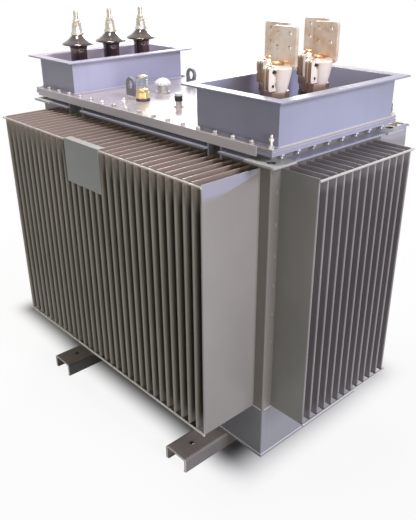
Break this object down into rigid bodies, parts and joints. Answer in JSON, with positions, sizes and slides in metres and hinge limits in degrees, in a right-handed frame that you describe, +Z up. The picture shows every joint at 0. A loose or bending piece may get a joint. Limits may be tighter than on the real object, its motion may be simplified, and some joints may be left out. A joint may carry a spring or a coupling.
{
  "type": "power transformer",
  "caption": "Oil-filled power transformer: corrugated finned tank on channel skids, bolted cover with open HV and LV terminal boxes, porcelain bushings and drilled LV flags.",
  "frame": {"origin": "on the floor under the middle of the tank", "axes": "+X to the low-voltage end, -Y to the nameplate side, +Z up"},
  "size_m": [2.0104, 1.3436, 1.954],
  "materials": {
    "skid_steel": "worn grey-brown primer",
    "brown_porcelain": "dark brown glazed porcelain",
    "lv_porcelain": "brown glazed porcelain",
    "terminal_metal": "tinned metal",
    "tinned_brass": "tinned brass casting",
    "brass": "worn brass",
    "fin_paint": "satin grey paint",
    "rod_steel": "grey paint over round bar",
    "gasket_rubber": "black oil-proof rubber",
    "gauge_brass": "polished brass",
    "glass": "clear sight glass",
    "white_plastic": "white moulded cap",
    "black_plastic": "black moulded cap",
    "fitting_steel": "zinc-plated steel",
    "plate_metal": "grey-green painted sheet",
    "tank_paint": "satin light grey paint"
  },
  "bodies": {
    "root": {"corner_plate_front_hv": "tank_paint", "corner_plate_front_lv": "tank_paint", "corner_plate_rear_hv": "tank_paint", "corner_plate_rear_lv": "tank_paint", "cover": "tank_paint", "cover_gasket": "gasket_rubber", "cover_strips": "tank_paint", "end_ledges": "tank_paint", "filler_cap": "white_plastic", "filler_neck": "fitting_steel", "front_fins": "fin_paint", "hv_box": "tank_paint", "hv_bushing_1": "brown_porcelain", "hv_bushing_2": "brown_porcelain", "hv_bushing_3": "brown_porcelain", "hv_end_fins": "fin_paint", "hv_terminal_1": "terminal_metal", "hv_terminal_2": "terminal_metal", "hv_terminal_3": "terminal_metal", "lifting_lug_front": "tank_paint", "lifting_lug_rear": "tank_paint", "lv_box": "tank_paint", "lv_bushing_1": "lv_porcelain", "lv_bushing_2": "lv_porcelain", "lv_bushing_3": "lv_porcelain", "lv_bushing_4": "lv_porcelain", "lv_clamp_1": "tinned_brass", "lv_clamp_2": "tinned_brass", "lv_clamp_3": "tinned_brass", "lv_clamp_4": "tinned_brass", "lv_end_fins": "fin_paint", "lv_nuts": "brass", "nameplate_bracket": "plate_metal", "oil_gauge_body": "gauge_brass", "oil_gauge_cap": "terminal_metal", "oil_gauge_glass": "glass", "rear_fins": "fin_paint", "relief_cap": "black_plastic", "relief_valve": "fitting_steel", "rim_ribs": "tank_paint", "side_ledges": "tank_paint", "skid_hv_end": "skid_steel", "skid_lv_end": "skid_steel", "tank_body": "tank_paint", "tank_flange": "tank_paint", "tank_floor_plate": "tank_paint", "tie_rods": "rod_steel"}
  },
  "joints": []
}
